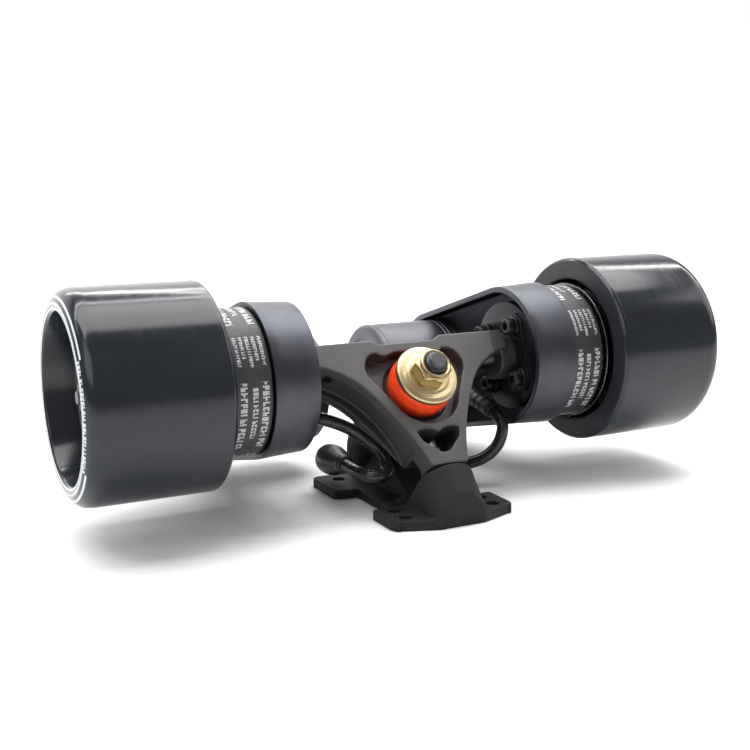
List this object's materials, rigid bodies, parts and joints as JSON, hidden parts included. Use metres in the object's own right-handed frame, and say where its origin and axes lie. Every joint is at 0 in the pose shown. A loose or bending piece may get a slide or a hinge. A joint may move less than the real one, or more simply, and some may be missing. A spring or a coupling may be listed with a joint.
{
  "type": "electric skateboard truck",
  "caption": "Electric skateboard truck with reverse kingpin, wide wheels and belt drives from hub-side motors, on a slotless deck baseplate.",
  "frame": {"origin": "centre of the four outer deck bolt holes, on the face that meets the deck", "axes": "+X along the wheel axle, +Y from the pivot towards the motors, +Z away from the deck"},
  "size_m": [0.2924, 0.1486, 0.0998],
  "materials": {
    "cast_black": "matte",
    "anodised_dark": "matte",
    "yellow_zinc": "satin",
    "steel": "satin",
    "bright_steel": "polished",
    "orange_urethane": "satin",
    "black_rubber": "matte",
    "motor_grey": "satin",
    "stator_copper": "satin",
    "rotor_steel": "satin",
    "pulley_metal": "satin",
    "belt_rubber": "matte",
    "tyre_black": "gloss",
    "core_plastic": "satin",
    "cable_black": "gloss"
  },
  "bodies": {
    "base": {"baseplate": "cast_black", "pivot_cup": "black_rubber", "kingpin": "steel", "kingpin_nut": "yellow_zinc", "road_washer": "yellow_zinc", "board_washer": "yellow_zinc", "road_bushing": "orange_urethane", "board_bushing": "orange_urethane"},
    "hanger_assembly": {"hanger": "cast_black", "axle": "steel", "axle_nuts": "steel", "speed_rings": "steel", "mount_bolts": "bright_steel", "motor_screws": "bright_steel", "left_drive_housing": "anodised_dark", "left_mount_flange": "anodised_dark", "left_axle_sleeve": "steel", "left_motor_case": "motor_grey", "left_motor_end_cap": "motor_grey", "left_motor_front_plate": "motor_grey", "left_motor_stator": "stator_copper", "left_motor_bearings": "steel", "left_drive_belt": "belt_rubber", "left_strain_relief": "black_rubber", "left_motor_cable": "cable_black", "left_plug": "black_rubber", "right_drive_housing": "anodised_dark", "right_mount_flange": "anodised_dark", "right_axle_sleeve": "steel", "right_motor_case": "motor_grey", "right_motor_end_cap": "motor_grey", "right_motor_front_plate": "motor_grey", "right_motor_stator": "stator_copper", "right_motor_bearings": "steel", "right_drive_belt": "belt_rubber", "right_strain_relief": "black_rubber", "right_motor_cable": "cable_black", "right_plug": "black_rubber"},
    "left_wheel": {"left_tyre": "tyre_black", "left_wheel_core": "core_plastic", "left_wheel_pulley": "pulley_metal", "left_belt_flange": "pulley_metal", "left_pulley_screws": "bright_steel", "left_wheel_bearings": "steel", "left_bearing_spacer": "steel"},
    "left_motor_rotor": {"left_rotor": "rotor_steel", "left_motor_shaft": "steel", "left_motor_pulley": "pulley_metal"},
    "right_wheel": {"right_tyre": "tyre_black", "right_wheel_core": "core_plastic", "right_wheel_pulley": "pulley_metal", "right_belt_flange": "pulley_metal", "right_pulley_screws": "bright_steel", "right_wheel_bearings": "steel", "right_bearing_spacer": "steel"},
    "right_motor_rotor": {"right_rotor": "rotor_steel", "right_motor_shaft": "steel", "right_motor_pulley": "pulley_metal"}
  },
  "joints": [
    {"name": "steer", "type": "hinge", "parent": "base", "child": "hanger_assembly", "pos_m": [0, -0.00014, 0.0467], "axis": [0, 0.6428, 0.766], "range_deg": [-15, 15], "stiffness_Nm_per_rad": 30, "deforming": ["road_bushing", "board_bushing", "left_motor_cable", "left_plug", "right_motor_cable", "right_plug"]},
    {"name": "left_wheel_spin", "type": "hinge", "parent": "hanger_assembly", "child": "left_wheel", "pos_m": [0, 0.0115, 0.0573], "axis": [1, 0, 0], "continuous": true},
    {"name": "right_wheel_spin", "type": "hinge", "parent": "hanger_assembly", "child": "right_wheel", "pos_m": [0, 0.0115, 0.0573], "axis": [1, 0, 0], "continuous": true},
    {"name": "left_motor_spin", "type": "hinge", "parent": "hanger_assembly", "child": "left_motor_rotor", "pos_m": [0, 0.07568, 0.0395], "axis": [1, 0, 0], "continuous": true},
    {"name": "right_motor_spin", "type": "hinge", "parent": "hanger_assembly", "child": "right_motor_rotor", "pos_m": [0, 0.07568, 0.0395], "axis": [1, 0, 0], "continuous": true}
  ],
  "couplings": [
    {"joint": "left_motor_spin", "follows": "left_wheel_spin", "ratio": 2.4},
    {"joint": "right_motor_spin", "follows": "right_wheel_spin", "ratio": 2.4}
  ]
}
